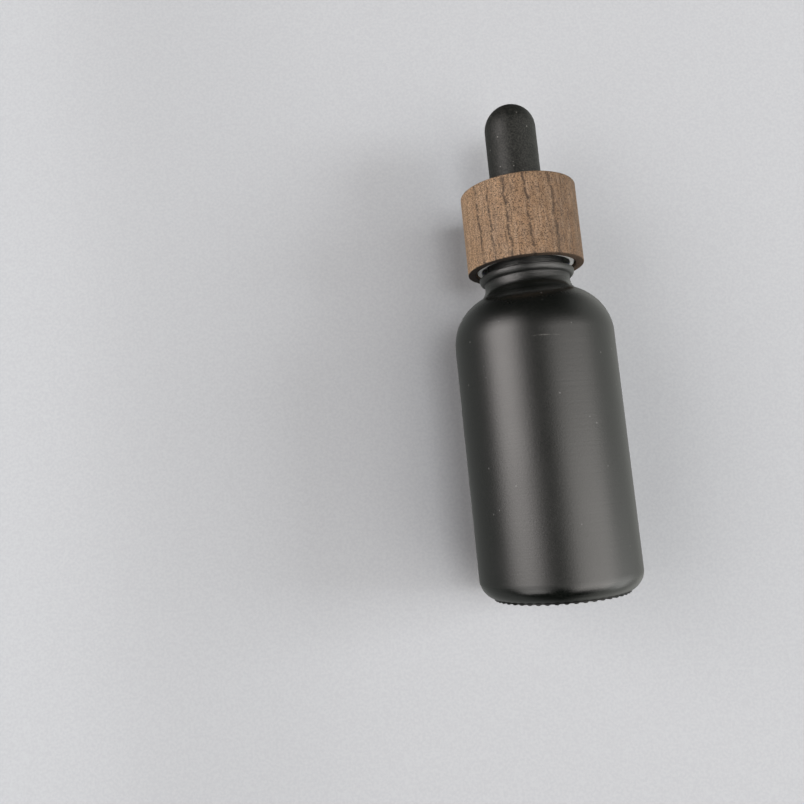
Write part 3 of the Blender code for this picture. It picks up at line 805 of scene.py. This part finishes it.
def make_table():
    """The pale table, seen from its front only, so that it never hides the bottle from behind."""
    normal = Vector((math.sin(math.radians(CAMERA_YAW)), -math.cos(math.radians(CAMERA_YAW)), 0.0))
    side = Vector((-normal.y, normal.x, 0.0))
    up = Vector((0.0, 0.0, 1.0))
    middle = -normal * (BODY_RADIUS + TABLE_GAP) + up * TABLE_MIDDLE_Z
    steps = TABLE_STEPS
    points = []
    for row in range(steps + 1):
        for column in range(steps + 1):
            a, b = 2 * column / steps - 1, 2 * row / steps - 1
            points.append(tuple(middle + side * (a * TABLE_HALF) + up * (b * TABLE_HALF)))
    faces = []
    for row in range(steps):
        for column in range(steps):
            corner = row * (steps + 1) + column
            faces.append((corner, corner + 1, corner + steps + 2, corner + steps + 1))
    mesh = bpy.data.meshes.new("pale_table")
    mesh.from_pydata(points, [], faces)
    if mesh.polygons[0].normal.dot(normal) < 0:
        mesh.flip_normals()
    table = bpy.data.objects.new("pale_table", mesh)
    bpy.context.scene.collection.objects.link(table)
    f = Finish("pale_table", Roughness=0.75, Specular_IOR_Level=0.2)
    cloud = f.noise(14.0, 3.0)
    fine = f.noise(1700.0, 2.0)
    along = f.split()[0]
    colour = f.mix(cloud, (0.292, 0.3005, 0.315), (0.300, 0.3085, 0.323))
    # Painted light: the table's colour is paler towards its far left.
    pale = f.ranged(along, *TABLE_PAINTED_LIGHT_LEFT, soft=True)
    colour = f.mix(pale, colour, (0.321, 0.332, 0.349))
    # Painted shade: a soft band of painted shadow on the table to the left of the bottle.
    from_left = f.ranged(along, *TABLE_PAINTED_SHADE_FROM_LEFT, soft=True)
    from_right = f.ranged(along, *TABLE_PAINTED_SHADE_FROM_RIGHT, soft=True)
    painted_shade = f.math("MULTIPLY", f.math("MINIMUM", from_left, from_right), 0.6)
    colour = f.mix(painted_shade, colour, (0.281, 0.290, 0.304))
    grain = f.mix(f.ranged(fine, 0.35, 0.65), (0.965, 0.965, 0.965), (1.035, 1.035, 1.035))
    colour = f.mix(1.0, colour, grain, "MULTIPLY")
    f.set(Base_Color=colour, Normal=f.bump(fine, 0.08, 0.00005))
    output = f.tree.nodes["Material Output"]
    clear = f.node("BsdfTransparent").outputs[0]
    behind = f.node("NewGeometry").outputs["Backfacing"]
    both = f.node("MixShader", {0: behind, 1: f.shader.outputs[0], 2: clear}).outputs[0]
    f.tree.links.new(both, output.inputs["Surface"])
    mesh.materials.append(f.material)
    table.visible_diffuse = False
    table.visible_glossy = False
    table.visible_shadow = False
    return table


# Soft windows of light: (degrees round from the camera's side towards +X, full half-width, faded half-width,
# degrees up, full half-height, faded half-height, radiance, tint).
WINDOWS = (
    (-45.0, 9.0, 34.0, 13.0, 8.0, 31.0, 5.2, (1.045, 0.99, 0.965)),  # left of the camera
    (-45.0, 9.0, 34.0, -30.0, 12.0, 28.0, 2.0, (1.03, 1.00, 0.97)),  # the same, lower
    (50.0, 19.0, 40.0, -18.0, 10.0, 47.0, 3.5, (1.03, 0.99, 0.95)),  # right of the camera
    (95.0, 8.0, 34.0, -26.0, 8.0, 30.0, 1.6, (1.00, 1.00, 0.98)),  # low on the right
    (122.0, 26.0, 62.0, -12.0, 42.0, 76.0, 0.62, (0.99, 1.00, 0.94)),  # the lit side of the table
    (-130.0, 26.0, 62.0, -12.0, 42.0, 76.0, 0.27, (0.98, 1.01, 0.97)),  # the shaded side of the table
    (0.0, 180.0, 190.0, 0.0, 90.0, 100.0, 0.02, (0.98, 1.00, 1.02)),  # the room
)
# Softboxes that fall on the table alone: degrees round towards +X, and watts.
TABLE_SOFTBOXES = (
    ("low_table_softbox", 74.0, 32.0),  # draws the long soft shadow to the left
    ("high_table_softbox", 20.0, 16.0),
)
SOFTBOX_AWAY = 2.0
SOFTBOX_SIZE = 0.7
SOFTBOX_Z = 0.05
BACKDROP = (0.60, 0.615, 0.635)


def make_light():
    """The world: smooth windows of light for the object, and a plain backdrop for the camera."""
    world = bpy.data.worlds.new("studio")
    bpy.context.scene.world = world
    world.use_nodes = True
    tree = world.node_tree
    nodes, links = tree.nodes, tree.links
    nodes.clear()
    output = nodes.new("ShaderNodeOutputWorld")
    place = nodes.new("ShaderNodeTexCoord").outputs["Generated"]
    split = nodes.new("ShaderNodeSeparateXYZ")
    links.new(place, split.inputs[0])
    x, y, z = split.outputs

    def mathed(operation, a, b=0.0):
        node = nodes.new("ShaderNodeMath")
        node.operation = operation
        for socket, value in ((node.inputs[0], a), (node.inputs[1], b)):
            if isinstance(value, bpy.types.NodeSocket):
                links.new(value, socket)
            else:
                socket.default_value = value
        return node.outputs[0]

    def faded(off, full, gone):
        node = nodes.new("ShaderNodeMapRange")
        node.interpolation_type = "SMOOTHSTEP"
        for index, value in ((1, gone), (2, full), (3, 0.0), (4, 1.0)):
            node.inputs[index].default_value = value
        links.new(off, node.inputs[0])
        return node.outputs[0]

    turn = mathed("MULTIPLY", mathed("ARCTAN2", x, mathed("MULTIPLY", y, -1.0)), 180.0 / math.pi)
    up = mathed("MULTIPLY", mathed("ARCSINE", z), 180.0 / math.pi)
    total = None
    for round_at, full_w, gone_w, up_at, full_h, gone_h, radiance, tint in WINDOWS:
        off = mathed("ABSOLUTE", mathed("SUBTRACT", turn, round_at))
        off = mathed("MINIMUM", off, mathed("SUBTRACT", 360.0, off))
        rise = mathed("ABSOLUTE", mathed("SUBTRACT", up, up_at))
        amount = mathed("MULTIPLY", faded(off, full_w, gone_w), faded(rise, full_h, gone_h))
        window = nodes.new("ShaderNodeVectorMath")
        window.operation = "SCALE"
        window.inputs[0].default_value = [channel * radiance for channel in tint]
        links.new(amount, window.inputs["Scale"])
        if total is None:
            total = window.outputs[0]
            continue
        add = nodes.new("ShaderNodeVectorMath")
        add.operation = "ADD"
        links.new(total, add.inputs[0])
        links.new(window.outputs[0], add.inputs[1])
        total = add.outputs[0]
    glow = nodes.new("ShaderNodeBackground")
    links.new(total, glow.inputs["Color"])
    plain = nodes.new("ShaderNodeBackground")
    plain.inputs["Color"].default_value = (*BACKDROP, 1.0)
    path = nodes.new("ShaderNodeLightPath").outputs
    seen = mathed("MAXIMUM", path["Is Camera Ray"], path["Is Transmission Ray"])
    choose = nodes.new("ShaderNodeMixShader")
    links.new(seen, choose.inputs[0])
    links.new(glow.outputs[0], choose.inputs[1])
    links.new(plain.outputs[0], choose.inputs[2])
    links.new(choose.outputs[0], output.inputs["Surface"])


def light_table(table):
    """The softboxes of the table, which leave the object alone but take its shadow."""
    lit = bpy.data.collections.new("lit_by_table_softboxes")
    lit.objects.link(table)
    for name, turn, watts in TABLE_SOFTBOXES:
        data = bpy.data.lights.new(name, "AREA")
        data.shape = "SQUARE"
        data.size = SOFTBOX_SIZE
        data.energy = watts
        light = bpy.data.objects.new(name, data)
        towards = Vector((math.sin(math.radians(turn)), -math.cos(math.radians(turn)), 0.0))
        light.location = towards * SOFTBOX_AWAY + Vector((0.0, 0.0, SOFTBOX_Z))
        light.rotation_mode = "QUATERNION"
        light.rotation_quaternion = towards.to_track_quat("Z", "Y")
        bpy.context.scene.collection.objects.link(light)
        light.light_linking.receiver_collection = lit


make_camera()
light_table(make_table())
make_light()
make_bottle()
make_collar()
make_inner_cap()
make_bulb()
make_pipette()
make_washer()
bpy.context.scene.view_settings.view_transform = "Standard"
